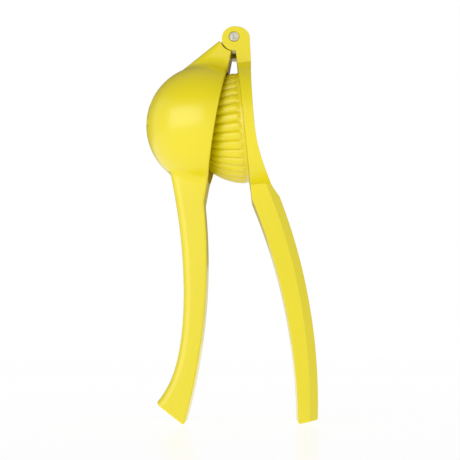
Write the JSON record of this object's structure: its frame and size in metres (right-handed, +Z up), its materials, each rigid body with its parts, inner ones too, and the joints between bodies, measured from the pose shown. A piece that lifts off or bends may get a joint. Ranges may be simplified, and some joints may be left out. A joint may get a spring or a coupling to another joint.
{
  "type": "hinged lemon squeezer",
  "caption": "Two-handled hinged lemon squeezer: a perforated cup arm and a fluted dome arm joined by a steel pin, standing on its handle tips.",
  "frame": {"origin": "on the floor under the middle of the object, which stands on its two handle tips", "axes": "+Z up, the arms open in the XZ plane with the cup towards -X and the dome arm towards +X, the hinge pin along Y"},
  "size_m": [0.0926, 0.0715, 0.2161],
  "materials": {
    "yellow_enamel_cup": "gloss",
    "yellow_enamel_press": "gloss",
    "steel_pin": "satin"
  },
  "bodies": {
    "cup_half": {"bowl_arm": "yellow_enamel_cup"},
    "press_half": {"plunger_arm": "yellow_enamel_press", "hinge_pin": "steel_pin"}
  },
  "joints": [
    {"name": "hinge_pivot", "type": "hinge", "parent": "cup_half", "child": "press_half", "pos_m": [0.00281, 0, 0.21024], "axis": [0, -1, 0], "range_deg": [-16, 149]}
  ]
}
